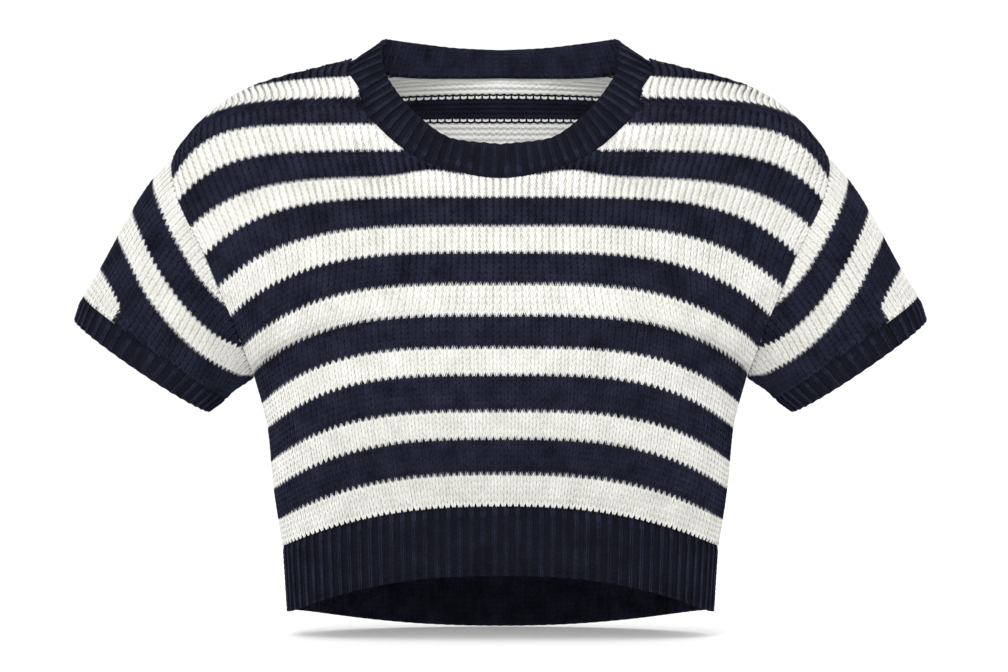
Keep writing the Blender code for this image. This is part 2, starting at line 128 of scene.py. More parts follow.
# Soft folds, in stitches and rows from each panel's centre line; depth in millimetres
Fold = namedtuple("Fold", "stitch row width height depth lean")
FRONT_FOLDS = [
    Fold(38.0, 6.0, 1.6, 11.0, -3.2, 0.02),
    Fold(40.5, 26.0, 2.2, 10.0, -3.0, 0.25),
    Fold(33.0, 44.0, 3.4, 13.0, -2.6, -0.32),
]
BACK_FOLDS = [
    Fold(37.0, 8.0, 1.8, 12.0, -3.4, 0.05),
    Fold(40.0, 28.0, 2.4, 10.0, -3.2, 0.2),
    Fold(31.0, 48.0, 3.2, 14.0, -3.0, -0.3),
]
FOLD_END = 8

# The neckband draws the rows just below it up on either side of the middle
NeckPull = namedtuple("NeckPull", "stitch row width height lift")
NECK_PULL = NeckPull(9.5, 59.5, 4.5, 2.4, 6.0)


def smooth(table, column, at):
    """The named column of a table, read at any row by a curve that never overshoots."""
    rows_at = np.array([row[0] for row in table], float)
    values = np.array([getattr(row, column) for row in table], float)
    step = np.diff(rows_at)
    slope = np.diff(values) / step
    tangent = np.zeros(len(values))
    for i in range(1, len(values) - 1):
        if slope[i - 1] * slope[i] > 0:
            weight_a = 2 * step[i] + step[i - 1]
            weight_b = step[i] + 2 * step[i - 1]
            tangent[i] = (weight_a + weight_b) / (weight_a / slope[i - 1] + weight_b / slope[i])
    tangent[0] = slope[0]
    tangent[-1] = slope[-1]
    at = np.clip(at, rows_at[0], rows_at[-1])
    i = np.clip(np.searchsorted(rows_at, at, side="right") - 1, 0, len(step) - 1)
    t = (at - rows_at[i]) / step[i]
    return (
        (1 + 2 * t) * (1 - t) ** 2 * values[i]
        + t * (1 - t) ** 2 * step[i] * tangent[i]
        + t * t * (3 - 2 * t) * values[i + 1]
        - t * t * (1 - t) * step[i] * tangent[i + 1]
    )


def unit(vectors):
    """The same directions with a length of one."""
    return vectors / np.maximum(np.linalg.norm(vectors, axis=-1, keepdims=True), 1e-12)


def lengths_along(points):
    """How far along a line each of its points lies."""
    steps = np.linalg.norm(np.diff(points, axis=0), axis=1)
    return np.concatenate([[0], np.cumsum(steps)])


def course(middle_table, folds, back, row, stitches):
    """Where the stitches of one row lie on a panel. Stitches are counted from the centre."""
    edge = {name: smooth(EDGE, name, row) for name in ("x", "depth", "z", "stitches")}
    middle = {name: smooth(middle_table, name, row) for name in ("depth", "z", "fall", "flat", "round")}
    ends = np.sin(np.linspace(0, math.pi / 2, CURVE_SAMPLES))
    bulge = np.maximum(1 - ends ** middle["flat"], 0) ** (1 / middle["round"])
    line = np.stack(
        [
            edge["x"] * ends,
            edge["depth"] + (middle["depth"] - edge["depth"]) * bulge,
            middle["z"] + (edge["z"] - middle["z"]) * ends ** middle["fall"],
        ],
        axis=1,
    )
    length = lengths_along(line)
    at = np.minimum(np.abs(stitches) / edge["stitches"], 1) * length[-1]
    here = np.stack([np.interp(at, length, line[:, axis]) for axis in range(3)], axis=1)
    for fold in folds:
        across = (np.abs(stitches) - fold.stitch - fold.lean * (row - fold.row)) / fold.width
        along = (row - fold.row) / fold.height
        fade = np.maximum(1 - (here[:, 0] / edge["x"]) ** FOLD_END, 0)
        here[:, 1] += fold.depth * np.exp(-across * across - along * along) * fade
    if not back:
        off_pull = (np.abs(stitches) - NECK_PULL.stitch) / NECK_PULL.width
        from_pull = (row - NECK_PULL.row) / NECK_PULL.height
        here[:, 2] += NECK_PULL.lift * np.exp(-off_pull * off_pull - from_pull * from_pull)
    here[:, 0] *= np.where(stitches < 0, -1, 1)
    here[:, 1] *= 1 if back else -1
    return here * MM


def read_grid(grid, along, across):
    """Points of a grid between its rows and columns."""
    along = np.clip(along, 0, grid.shape[0] - 1.0001)
    across = np.clip(across, 0, grid.shape[1] - 1.0001)
    i = along.astype(int)
    j = across.astype(int)
    a = (along - i)[..., None]
    b = (across - j)[..., None]
    low = grid[i, j] * (1 - b) + grid[i, j + 1] * b
    high = grid[i + 1, j] * (1 - b) + grid[i + 1, j + 1] * b
    return low * (1 - a) + high * a


def top_row(back, stitches):
    """The last row of each column: the neckline, then the shoulder seam."""
    stitches = np.abs(stitches)
    rows = np.linspace(ARMHOLE_TOP_ROW, SHOULDER_NECK_ROW, CURVE_SAMPLES)
    shoulder = np.interp(stitches, smooth(EDGE, "stitches", rows)[::-1], rows[::-1])
    neck_row = BACK_NECK_ROW if back else FRONT_NECK_ROW
    share = np.minimum(stitches / NECK_HALF_STITCHES, 1)
    neck = neck_row + (SHOULDER_NECK_ROW - neck_row) * (1 - np.sqrt(1 - share * share))
    return np.where(stitches < NECK_HALF_STITCHES, neck, shoulder)


def panel_place(back):
    """A function that gives the place of any stitch, row and height of a panel."""
    middle = BACK_MIDDLE if back else FRONT_MIDDLE
    folds = BACK_FOLDS if back else FRONT_FOLDS
    rows = np.arange(0, SHOULDER_NECK_ROW + GRID_STEP / 2, GRID_STEP)
    stitches = np.arange(-HALF_STITCHES, HALF_STITCHES + GRID_STEP / 2, GRID_STEP)
    grid = np.array([course(middle, folds, back, row, stitches) for row in rows])

    def at(stitch, row):
        return read_grid(grid, row / GRID_STEP, (stitch + HALF_STITCHES) / GRID_STEP)

    # The way out of the cloth comes from places half a stitch and half a row to either side
    inside_row, inside_stitch = np.meshgrid(rows, stitches, indexing="ij")
    inside_row = np.clip(inside_row, 1, SHOULDER_NECK_ROW - 1)
    limit = smooth(EDGE, "stitches", inside_row + 0.5) - 1
    inside_stitch = np.clip(inside_stitch, -limit, limit)
    around = at(inside_stitch + 0.5, inside_row) - at(inside_stitch - 0.5, inside_row)
    up = at(inside_stitch, inside_row + 0.5) - at(inside_stitch, inside_row - 0.5)
    ways = unit(np.cross(around, up)) * (-1 if back else 1)
    downward = unit(grid[0] - grid[1]) * ROW

    def place(stitch, row, height):
        past_hem = np.maximum(-row, 0)[..., None]
        row = np.clip(row, 0, top_row(back, stitch))
        across = (stitch + HALF_STITCHES) / GRID_STEP
        way = unit(read_grid(ways, row / GRID_STEP, across))
        run_on = read_grid(np.stack([downward, downward]), np.zeros(across.shape), across) * past_hem
        return at(stitch, row) + run_on + way * (height - YARN_SINK)[..., None]

    return place


def math_node(tree, operation, *values):
    """A math node with numbers or sockets as its inputs; returns its output."""
    node = tree.nodes.new("ShaderNodeMath")
    node.operation = operation
    for socket, value in zip(node.inputs, values):
        if isinstance(value, (int, float)):
            socket.default_value = value
        else:
            tree.links.new(value, socket)
    return node.outputs[0]


# Colours of the yarn's dark and light plies. The deep ones are painted shade: the cloth that shows between
# the stitches and in the ribs' valleys is darkened for the shade that falls there. The pale one is painted
# light: the off-white of the sweater's inside, which lies in shade, is made lighter than the yarn's.
NAVY = (0.016, 0.0175, 0.034)
NAVY_DARK = (0.006, 0.007, 0.014)
NAVY_LIGHT = (0.025, 0.028, 0.053)
NAVY_PAINTED_SHADE = (0.003, 0.0034, 0.007)
WHITE = (0.76, 0.752, 0.718)
WHITE_DARK = (0.68, 0.672, 0.638)
WHITE_LIGHT = (0.82, 0.815, 0.785)
WHITE_PAINTED_SHADE = (0.44, 0.43, 0.40)
WHITE_PAINTED_LIGHT = (0.92, 0.915, 0.89)
DARK_PLY_AT = 0.36
LIGHT_PLY_AT = 0.64

# Loose fibre on the yarn, and patches of a few stitches that took the dye differently
YARN_SHEEN = 0.35
CLOTH_SHEEN = 0.2
BUMP_STRENGTH = 0.5
FIBRE_HEIGHT = 0.4 * MM
Mottle = namedtuple("Mottle", "scale detail roughness share")
FIBRES = Mottle(900, 4, 0.65, 0.5)
PATCHES = Mottle(60, 3, 0.5, 0.5)


def plies(tree, mottle, dark, light):
    """The colour of one yarn, from its dark plies to its light ones."""
    ramp = tree.nodes.new("ShaderNodeValToRGB")
    for ply, at, colour in zip(ramp.color_ramp.elements, (DARK_PLY_AT, LIGHT_PLY_AT), (dark, light)):
        ply.position = at
        ply.color = (*colour, 1)
    tree.links.new(mottle, ramp.inputs["Fac"])
    return ramp.outputs["Color"]


def wool(name, tint, dark, light, sheen=YARN_SHEEN):
    """Yarn: mottled by its plies and fibres, matt, with a soft halo of loose fibre."""
    material = bpy.data.materials.new(name)
    material.use_nodes = True
    tree = material.node_tree
    shader = tree.nodes["Principled BSDF"]
    for socket, value in (
        ("Roughness", 0.92),
        ("Specular IOR Level", 0.1),
        ("Sheen Weight", sheen),
        ("Sheen Roughness", 0.6),
        ("Sheen Tint", (*tint, 1)),
    ):
        shader.inputs[socket].default_value = value
    coords = tree.nodes.new("ShaderNodeTexCoord")

    def noise(mottle):
        node = tree.nodes.new("ShaderNodeTexNoise")
        node.inputs["Scale"].default_value = mottle.scale
        node.inputs["Detail"].default_value = mottle.detail
        node.inputs["Roughness"].default_value = mottle.roughness
        tree.links.new(coords.outputs["Object"], node.inputs["Vector"])
        return node.outputs["Fac"]

    fibres = noise(FIBRES)
    fine = math_node(tree, "MULTIPLY", fibres, FIBRES.share)
    both = math_node(tree, "MULTIPLY_ADD", noise(PATCHES), PATCHES.share, fine)
    tree.links.new(plies(tree, both, dark, light), shader.inputs["Base Color"])
    bump = tree.nodes.new("ShaderNodeBump")
    bump.inputs["Strength"].default_value = BUMP_STRENGTH
    bump.inputs["Distance"].default_value = FIBRE_HEIGHT
    tree.links.new(fibres, bump.inputs["Height"])
    tree.links.new(bump.outputs["Normal"], shader.inputs["Normal"])
    return material


navy_wool = wool("navy_wool", NAVY, NAVY_DARK, NAVY_LIGHT)
white_wool = wool("white_wool", WHITE, WHITE_DARK, WHITE_LIGHT)

# Purl rows wave from stitch to stitch, by a share of a row, with two humps to a stitch. On the
# inside each change of yarn shows twice: a thin navy line, then a row of off-white dashes.
PURL_WAVE = 0.08
PURL_HUMP = 0.5
PURL_HEIGHT = 0.6 * MM
DASH_ROW = 0.62
DASH_HALF_HEIGHT = 0.24
DASH_GAP = -0.7


def purl_side(name, navy, white=None, dashed=False):
    """The cloth itself: purl bumps in wavy rows, striped like the stitches that lie on it."""
    material = wool(name, NAVY, *navy, sheen=CLOTH_SHEEN)
    tree = material.node_tree
    shader = tree.nodes["Principled BSDF"]
    uv = tree.nodes.new("ShaderNodeUVMap")
    uv.uv_map = "knitting"
    split = tree.nodes.new("ShaderNodeSeparateXYZ")
    tree.links.new(uv.outputs["UV"], split.inputs[0])
    stitch = split.outputs["X"]
    row = split.outputs["Y"]
    wave = math_node(tree, "COSINE", math_node(tree, "MULTIPLY", stitch, 2 * math.pi))
    wavy_row = math_node(tree, "MULTIPLY_ADD", wave, PURL_WAVE, row)
    ridges = math_node(tree, "SINE", math_node(tree, "MULTIPLY", wavy_row, 2 * math.pi))
    humps = math_node(tree, "COSINE", math_node(tree, "MULTIPLY", stitch, 4 * math.pi))
    height = math_node(tree, "MULTIPLY", math_node(tree, "MULTIPLY_ADD", humps, PURL_HUMP, 1.0), ridges)
    bump = tree.nodes.new("ShaderNodeBump")
    bump.inputs["Strength"].default_value = BUMP_STRENGTH
    bump.inputs["Distance"].default_value = PURL_HEIGHT
    tree.links.new(height, bump.inputs["Height"])
    fibre_bump = shader.inputs["Normal"].links[0].from_node
    tree.links.new(bump.outputs["Normal"], fibre_bump.inputs["Normal"])
    if white:
        in_repeat = math_node(tree, "FLOORED_MODULO", wavy_row, STRIPE_REPEAT)
        from_start = math_node(tree, "SUBTRACT", in_repeat, WHITE_ROWS)
        to_end = math_node(tree, "SUBTRACT", STRIPE_REPEAT, in_repeat)
        into_navy = math_node(tree, "MINIMUM", from_start, to_end)
        is_white = math_node(tree, "LESS_THAN", into_navy, 0.0)
        if dashed:
            off_line = math_node(tree, "ABSOLUTE", math_node(tree, "SUBTRACT", into_navy, DASH_ROW))
            on_line = math_node(tree, "LESS_THAN", off_line, DASH_HALF_HEIGHT)
            dashes = math_node(tree, "MULTIPLY", on_line, math_node(tree, "GREATER_THAN", wave, DASH_GAP))
            is_white = math_node(tree, "MAXIMUM", is_white, dashes)
        navy_plies = shader.inputs["Base Color"].links[0].from_node
        mottle = navy_plies.inputs["Fac"].links[0].from_socket
        mix = tree.nodes.new("ShaderNodeMix")
        mix.data_type = "RGBA"
        tree.links.new(is_white, mix.inputs["Factor"])
        tree.links.new(navy_plies.outputs["Color"], mix.inputs["A"])
        tree.links.new(plies(tree, mottle, *white), mix.inputs["B"])
        tree.links.new(mix.outputs["Result"], shader.inputs["Base Color"])
    return material


# The outside of the cloth takes the deep plies: painted shade between the stitches.
striped_cloth_painted_shade = purl_side("striped_cloth_painted_shade", (NAVY_PAINTED_SHADE, NAVY_DARK), (WHITE_PAINTED_SHADE, WHITE_DARK))
# The inside takes lighter off-white plies: painted light for the shaded inside of the sweater.
striped_inside_painted_light = purl_side("striped_inside_painted_light", (NAVY_DARK, NAVY), (WHITE_LIGHT, WHITE_PAINTED_LIGHT), dashed=True)
# The ribs' cloth takes the deep navy plies on both faces: painted shade in the valleys between the ribs.
navy_cloth_painted_shade = purl_side("navy_cloth_painted_shade", (NAVY_PAINTED_SHADE, NAVY_DARK))
navy_inside = purl_side("navy_inside", (NAVY_PAINTED_SHADE, NAVY))

# One yarn leg, from its foot in the row below to its head behind the row above. across is a share
# of the way from foot to head, along is in rows, and up is a share of the relief. The yarn thins by
# a quarter, close to its ends.
LegPoint = namedtuple("LegPoint", "socket across along up")
LEG = [
    LegPoint("Start", 0.0, -0.44, 0.7),
    LegPoint("Start Handle", 0.29, 0.12, 1.3),
    LegPoint("End Handle", 0.71, 0.66, 1.2),
    LegPoint("End", 1.0, 1.2, 0.2),
]
LEG_POINTS = 4
LEG_SMOOTHNESS = 12
YARN_POINTS = 4
TAPER = -0.25
TAPER_POWER = 4.0


def stitch_tree():
    """Nodes that knit one stitch, two yarn legs in a V, on every point of a flat piece."""
    tree = bpy.data.node_groups.new("knit_stitches", "GeometryNodeTree")
    sockets = tree.interface
    sockets.new_socket("Places", in_out="INPUT", socket_type="NodeSocketGeometry")
    for name, value in (
        ("Stitch Width", STITCH),
        ("Row Height", ROW),
        ("Yarn Radius", 1.28 * MM),
        ("Foot Spread", 0.06),
        ("Head Spread", 0.44),
        ("Relief", 0.9 * MM),
        ("Unevenness", 0.05),
    ):
        socket = sockets.new_socket(name, in_out="INPUT", socket_type="NodeSocketFloat")
        socket.default_value = value
    sockets.new_socket("Seed", in_out="INPUT", socket_type="NodeSocketInt")
    sockets.new_socket("Yarn", in_out="INPUT", socket_type="NodeSocketMaterial")
    sockets.new_socket("Stitches", in_out="OUTPUT", socket_type="NodeSocketGeometry")
    nodes = tree.nodes
    links = tree.links
    given = nodes.new("NodeGroupInput").outputs
    result = nodes.new("NodeGroupOutput").inputs

    def number(operation, *values):
        return math_node(tree, operation, *values)

    # One leg: a curve from foot to head, swept with half-round yarn that thins at both ends
    spread = number("SUBTRACT", given["Head Spread"], given["Foot Spread"])
    leg = nodes.new("GeometryNodeCurvePrimitiveBezierSegment")
    leg.mode = "POSITION"
    leg.inputs["Resolution"].default_value = LEG_SMOOTHNESS
    for point in LEG:
        corner = nodes.new("ShaderNodeCombineXYZ")
        aside = number("MULTIPLY_ADD", spread, point.across, given["Foot Spread"])
        links.new(number("MULTIPLY", given["Stitch Width"], aside), corner.inputs["X"])
        links.new(number("MULTIPLY", given["Row Height"], point.along), corner.inputs["Y"])
        links.new(number("MULTIPLY", given["Relief"], point.up), corner.inputs["Z"])
        links.new(corner.outputs[0], leg.inputs[point.socket])
    even = nodes.new("GeometryNodeResampleCurve")
    even.mode = "COUNT"
    even.inputs["Count"].default_value = LEG_POINTS
    links.new(leg.outputs[0], even.inputs["Curve"])
    upright = nodes.new("GeometryNodeSetCurveNormal")
    upright.mode = "Z_UP"
    links.new(even.outputs[0], upright.inputs[0])
    along = nodes.new("GeometryNodeSplineParameter")
    from_middle = number("ABSOLUTE", number("MULTIPLY_ADD", along.outputs["Factor"], 2.0, -1.0))
    taper = number("MULTIPLY_ADD", number("POWER", from_middle, TAPER_POWER), TAPER, 1.0)
    radius = number("MULTIPLY", given["Yarn Radius"], taper)
    half_round = nodes.new("GeometryNodeCurveArc")
    half_round.mode = "RADIUS"
    half_round.inputs["Resolution"].default_value = YARN_POINTS
    half_round.inputs["Radius"].default_value = 1.0
    half_round.inputs["Start Angle"].default_value = 0.0
    half_round.inputs["Sweep Angle"].default_value = math.pi
    yarn = nodes.new("GeometryNodeCurveToMesh")
    links.new(upright.outputs[0], yarn.inputs["Curve"])
    links.new(radius, yarn.inputs["Scale"])
    links.new(half_round.outputs[0], yarn.inputs["Profile Curve"])

    # The other leg is its mirror image
    mirrored = nodes.new("GeometryNodeTransform")
    mirrored.inputs["Scale"].default_value = (-1, 1, 1)
    links.new(yarn.outputs[0], mirrored.inputs[0])
    turned = nodes.new("GeometryNodeFlipFaces")
    links.new(mirrored.outputs[0], turned.inputs[0])
    pair = nodes.new("GeometryNodeJoinGeometry")
    links.new(yarn.outputs[0], pair.inputs[0])
    links.new(turned.outputs[0], pair.inputs[0])

    # Every stitch leans and swells a little differently
    lean = nodes.new("FunctionNodeRandomValue")
    lean.data_type = "FLOAT_VECTOR"
    vectors = [socket for socket in lean.inputs if socket.type == "VECTOR"]
    for socket, sign in zip(vectors, (-1, 1)):
        most = nodes.new("ShaderNodeCombineXYZ")
        for axis in ("Y", "Z"):
            links.new(number("MULTIPLY", given["Unevenness"], sign), most.inputs[axis])
        links.new(most.outputs[0], socket)
    links.new(given["Seed"], lean.inputs["Seed"])
    size = nodes.new("FunctionNodeRandomValue")
    size.data_type = "FLOAT"
    floats = [socket for socket in size.inputs if socket.type == "VALUE" and socket.name in ("Min", "Max")]
    links.new(number("SUBTRACT", 1.0, given["Unevenness"]), floats[0])
    links.new(number("ADD", 1.0, given["Unevenness"]), floats[1])
    links.new(number("ADD", given["Seed"], 1.0), size.inputs["Seed"])
    turn = nodes.new("FunctionNodeEulerToRotation")
    links.new(lean.outputs[0], turn.inputs[0])

    # A stitch on every place
    knitted = nodes.new("GeometryNodeInstanceOnPoints")
    links.new(given["Places"], knitted.inputs["Points"])
    links.new(pair.outputs[0], knitted.inputs["Instance"])
    links.new(turn.outputs[0], knitted.inputs["Rotation"])
    swell = next(socket for socket in size.outputs if socket.type == "VALUE" and socket.enabled)
    links.new(swell, knitted.inputs["Scale"])
    real = nodes.new("GeometryNodeRealizeInstances")
    links.new(knitted.outputs[0], real.inputs[0])
    soft = nodes.new("GeometryNodeSetShadeSmooth")
    links.new(real.outputs[0], soft.inputs[0])
    finish = nodes.new("GeometryNodeSetMaterial")
    links.new(soft.outputs[0], finish.inputs["Geometry"])
    links.new(given["Yarn"], finish.inputs["Material"])
    links.new(finish.outputs[0], result["Stitches"])
    return tree


knitting = stitch_tree()


def knit(name, places, yarn, drape, flipped, seed, sizes=()):
    """Knits a flat piece with a stitch at each place, and drapes it over its cloth."""
    flat = bpy.data.meshes.new(name)
    points = np.zeros((len(places), 3))
    points[:, 0] = places[:, 0] * STITCH
    points[:, 1] = places[:, 1] * ROW
    flat.from_pydata(points.tolist(), [], [])
    piece = bpy.data.objects.new(name, flat)
    bpy.context.scene.collection.objects.link(piece)
    modifier = piece.modifiers.new("knitting", "NODES")
    modifier.node_group = knitting
    inputs = [item for item in knitting.interface.items_tree if item.in_out == "INPUT"]
    identifiers = {item.name: item.identifier for item in inputs}
    for input_name, value in (("Seed", seed), ("Yarn", yarn), *sizes):
        modifier[identifiers[input_name]] = value
    graph = bpy.context.evaluated_depsgraph_get()
    mesh = bpy.data.meshes.new_from_object(piece.evaluated_get(graph), depsgraph=graph)
    piece.modifiers.clear()
    piece.data = mesh
    mesh.name = name
    co = np.empty(len(mesh.vertices) * 3)
    mesh.vertices.foreach_get("co", co)
    co = co.reshape(-1, 3)
    draped = drape(co[:, 0] / STITCH, co[:, 1] / ROW, co[:, 2])
    mesh.vertices.foreach_set("co", draped.ravel())
    if flipped:
        mesh.flip_normals()
    mesh.update()
    mesh.materials.clear()
    mesh.materials.append(yarn)
    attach(piece, "root")
    return piece


def wall(name, stitches, rows, outer, inner, wrap, flipped, sides):
    """A closed wall between two grids of points, with its stitches and rows as a UV map.

    The material of the second side covers only the inner faces.
    """
    count, across = outer.shape[:2]
    points = np.concatenate([outer.reshape(-1, 3), inner.reshape(-1, 3)])
    last = across if wrap else across - 1
    faces = []
    marks = []
    slots = []

    def add(corners, turned):
        ids = [layer * count * across + row * across + column % across for row, column, layer in corners]
        uvs = [(stitches[row, column], rows[row, column % across]) for row, column, layer in corners]
        faces.append(ids[::-1] if turned else ids)
        marks.extend(uvs[::-1] if turned else uvs)
        slots.append(int(all(layer for row, column, layer in corners)))

    for row in range(count - 1):
        for column in range(last):
            for layer in (0, 1):
                corners = [(row, column), (row, column + 1), (row + 1, column + 1), (row + 1, column)]
                add([(r, c, layer) for r, c in corners], bool(layer) != flipped)
    for column in range(last):
        for row, turned in ((0, True), (count - 1, False)):
            corners = [(row, column, 0), (row, column + 1, 0), (row, column + 1, 1), (row, column, 1)]
            add(corners, turned != flipped)
    if not wrap:
        for row in range(count - 1):
            for column, turned in ((0, False), (across - 1, True)):
                corners = [(row, column, 0), (row + 1, column, 0), (row + 1, column, 1), (row, column, 1)]
                add(corners, turned != flipped)
    mesh = bpy.data.meshes.new(name)
    mesh.from_pydata(points.tolist(), [], faces)
    uv = mesh.uv_layers.new(name="knitting")
    uv.data.foreach_set("uv", np.array(marks, dtype=np.float32).ravel())
    mesh.shade_smooth()
    for side in sides:
        mesh.materials.append(side)
    mesh.polygons.foreach_set("material_index", slots)
    mesh.update()
    piece = bpy.data.objects.new(name, mesh)
    bpy.context.scene.collection.objects.link(piece)
    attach(piece, "root")
    return piece


# Heights of the cloth's two faces, just below the stitches that lie on it
CLOTH_OUTSIDE = -0.3 * MM
CLOTH_INSIDE = -1.4 * MM
YARNS = (("navy", navy_wool), ("white", white_wool))
PANEL_COLUMNS = 61
PANEL_LEVELS = 56


def panel_stitches(back, white):
    """Every place of a panel, in stitches and rows, that one colour of yarn fills."""
    places = []
    for row in range(int(SHOULDER_NECK_ROW)):
        if (row % STRIPE_REPEAT < WHITE_ROWS) != white:
            continue
        for column in range(-HALF_STITCHES, HALF_STITCHES):
            if row + 0.5 < top_row(back, column + 0.5):
                places.append((column + 0.5, row))
    return np.array(places, float)


def make_panel(word, back):
    """A panel's cloth and its stitches in both yarns; returns the function that places them."""
    place = panel_place(back)
    columns = np.linspace(-HALF_STITCHES, HALF_STITCHES, PANEL_COLUMNS)
    shares = np.linspace(0, 1, PANEL_LEVELS)
    stitches = np.tile(columns, (len(shares), 1))
    rows = shares[:, None] * top_row(back, columns)[None, :]
    outer = place(stitches, rows, np.full(rows.shape, CLOTH_OUTSIDE))
    inner = place(stitches, rows, np.full(rows.shape, CLOTH_INSIDE))
    sides = (striped_cloth_painted_shade, striped_inside_painted_light)
    cloth = wall(f"{word}_cloth", stitches, rows, outer, inner, False, back, sides)
    for seed, (colour, yarn) in enumerate(YARNS, 2 * back):
        places = panel_stitches(back, colour == "white")
        knit(f"{word}_{colour}_stitches", places, yarn, place, back, seed)
    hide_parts(f"{word}_panel")
    area = float(np.sum(top_row(back, np.arange(-HALF_STITCHES, HALF_STITCHES) + 0.5))) * STITCH * ROW
    return place


front_place = make_panel("front", back=False)
back_place = make_panel("back", back=True)

# ---------------------------------------------------------------- sleeves
# Short set-in sleeves of 80 stitches, knitted from the armhole down, with stripes that match the
# panels' at the top. Their caps are shaped, so rows begin at the armhole further down the arm.

SLEEVE_STITCHES = 80
Ring = namedtuple("Ring", "x_out z_out x_in z_in half_depth lean")
CUFF_SEAM = Ring(355.5, -219.5, 232.0, -306.5, 50.0, 1.0)
SHOULDER_WAY = (0.74, -0.67)

# Which row of the sleeve lies at the armhole and at the cuff; turn is 0 under the arm and 0.5 on top
SleeveRows = namedtuple("SleeveRows", "turn armhole cuff")
SLEEVE_ROWS = [
    SleeveRows(0.0, 16.0, 20.6),
    SleeveRows(0.085, 11.0, 20.6),
    SleeveRows(0.171, 5.0, 20.8),
    SleeveRows(0.22, 2.7, 21.4),
    SleeveRows(0.27, 1.3, 22.6),
    SleeveRows(0.317, 1.1, 24.0),
    SleeveRows(0.37, 0.9, 26.2),
    SleeveRows(0.42, 0.5, 27.2),
    SleeveRows(0.5, 0.0, 27.5),
]

# The stripe that begins at this row runs only over the top of the arm. Closer to the underarm than
# this turn, where the cuff would leave a sliver of it, the rest of the sleeve is navy, and its cloth
# is marked like the navy INTO_NAVY rows before the stripe.
LAST_STRIPE_ROW = 22
LAST_STRIPE_TURN = 0.335
INTO_NAVY = 1.5
SLEEVE_LOFT_STEPS = 61
SLEEVE_LEVELS = 25


def arm_axis(ring, side):
    """The way out of a sleeve ring: down the arm, square to the ring."""
    return unit(np.array([side * (ring.z_out - ring.z_in), 0.0, ring.x_in - ring.x_out]))


def ring_points(ring, side, turns):
    """Points of a sleeve ring. turn runs from the underarm through the front, top and back."""
    angle = 2 * math.pi * turns
    x = (ring.x_in + ring.x_out) / 2 + (ring.x_in - ring.x_out) / 2 * np.cos(angle)
    z = (ring.z_in + ring.z_out) / 2 + (ring.z_in - ring.z_out) / 2 * np.cos(angle)
    on_ring = np.stack([side * x, -ring.half_depth * np.sin(angle), z], axis=-1)
    return (on_ring + arm_axis(ring, side) * ring.lean * np.sin(angle)[..., None]) * MM


def evenly(points, shares):
    """Points at shares of a line's length."""
    length = lengths_along(points)
    at = np.asarray(shares) * length[-1]
    return np.stack([np.interp(at, length, points[:, axis]) for axis in range(3)], axis=-1)


def grid_ways(grid, wrap):
    """The way square to a grid of points, at each of them."""
    if wrap:
        ring = np.concatenate([grid[:, -2:-1], grid, grid[:, 1:2]], axis=1)
        around = (ring[:, 2:] - ring[:, :-2]) / 2
    else:
        around = np.gradient(grid, axis=1)
    return unit(np.cross(around, np.gradient(grid, axis=0)))


def sleeve_grid(side):
    """The sleeve's surface from the armhole (first row) to the cuff seam, round from the underarm."""
    rows = np.linspace(UNDERARM_ROW, ARMHOLE_TOP_ROW, CURVE_SAMPLES)
    x, depth, z = (smooth(EDGE, column, rows) for column in ("x", "depth", "z"))
    front = np.stack([side * x, -depth, z], axis=1)
    back = np.stack([side * x, depth, z], axis=1)[::-1]
    turns = np.linspace(0, 1, 2 * SLEEVE_STITCHES + 1)
    up_front = evenly(front, 2 * turns[: SLEEVE_STITCHES + 1])
    down_back = evenly(back, 2 * turns[SLEEVE_STITCHES:] - 1)
    armhole = np.concatenate([up_front, down_back[1:]]) * MM
    seam = ring_points(CUFF_SEAM, side, turns)
    reach = np.linalg.norm(seam - armhole, axis=1, keepdims=True)
    leave = unit(np.array([side * SHOULDER_WAY[0], 0.0, SHOULDER_WAY[1]])) * reach
    arrive = arm_axis(CUFF_SEAM, side) * reach
    shares = np.linspace(0, 1, SLEEVE_LOFT_STEPS)
    lines = []
    for t in shares:
        from_armhole = (1 + 2 * t) * (1 - t) ** 2 * armhole + t * (1 - t) ** 2 * leave
        lines.append(from_armhole + t * t * (3 - 2 * t) * seam - t * t * (1 - t) * arrive)
    lines = np.array(lines)
    return np.stack([evenly(lines[:, column], shares) for column in range(lines.shape[1])], axis=1)


def half_turn(stitch):
    """How far round from the underarm a stitch lies, the same in front and behind."""
    turn = np.clip(stitch / SLEEVE_STITCHES, 0, 1)
    return np.minimum(turn, 1 - turn)


def sleeve_place(side):
    """A function that gives the place of any stitch, row and height of a sleeve."""
    grid = sleeve_grid(side)
    ways = grid_ways(grid, wrap=True) * (-side)

    def place(stitch, row, height):
        turn = half_turn(stitch)
        first = smooth(SLEEVE_ROWS, "armhole", turn)
        last = smooth(SLEEVE_ROWS, "cuff", turn)
        along = np.clip((row - first) / (last - first), 0, 1) * (grid.shape[0] - 1)
        across = np.mod(stitch, SLEEVE_STITCHES) * 2
        way = unit(read_grid(ways, along, across))
        return read_grid(grid, along, across) + way * (height - YARN_SINK)[..., None]

    return place


def sleeve_stitches(white):
    """Every place of a sleeve, in stitches and rows, that one colour of yarn fills."""
    places = []
    for row in range(int(SLEEVE_ROWS[-1].cuff) + 1):
        for column in range(SLEEVE_STITCHES):
            turn = half_turn(column + 0.5)
            past_stripes = row >= LAST_STRIPE_ROW and turn < LAST_STRIPE_TURN
            if (row % STRIPE_REPEAT < WHITE_ROWS and not past_stripes) != white:
                continue
            if smooth(SLEEVE_ROWS, "armhole", turn) < row + 0.5 < smooth(SLEEVE_ROWS, "cuff", turn):
                places.append((column + 0.5, row))
    return np.array(places, float)


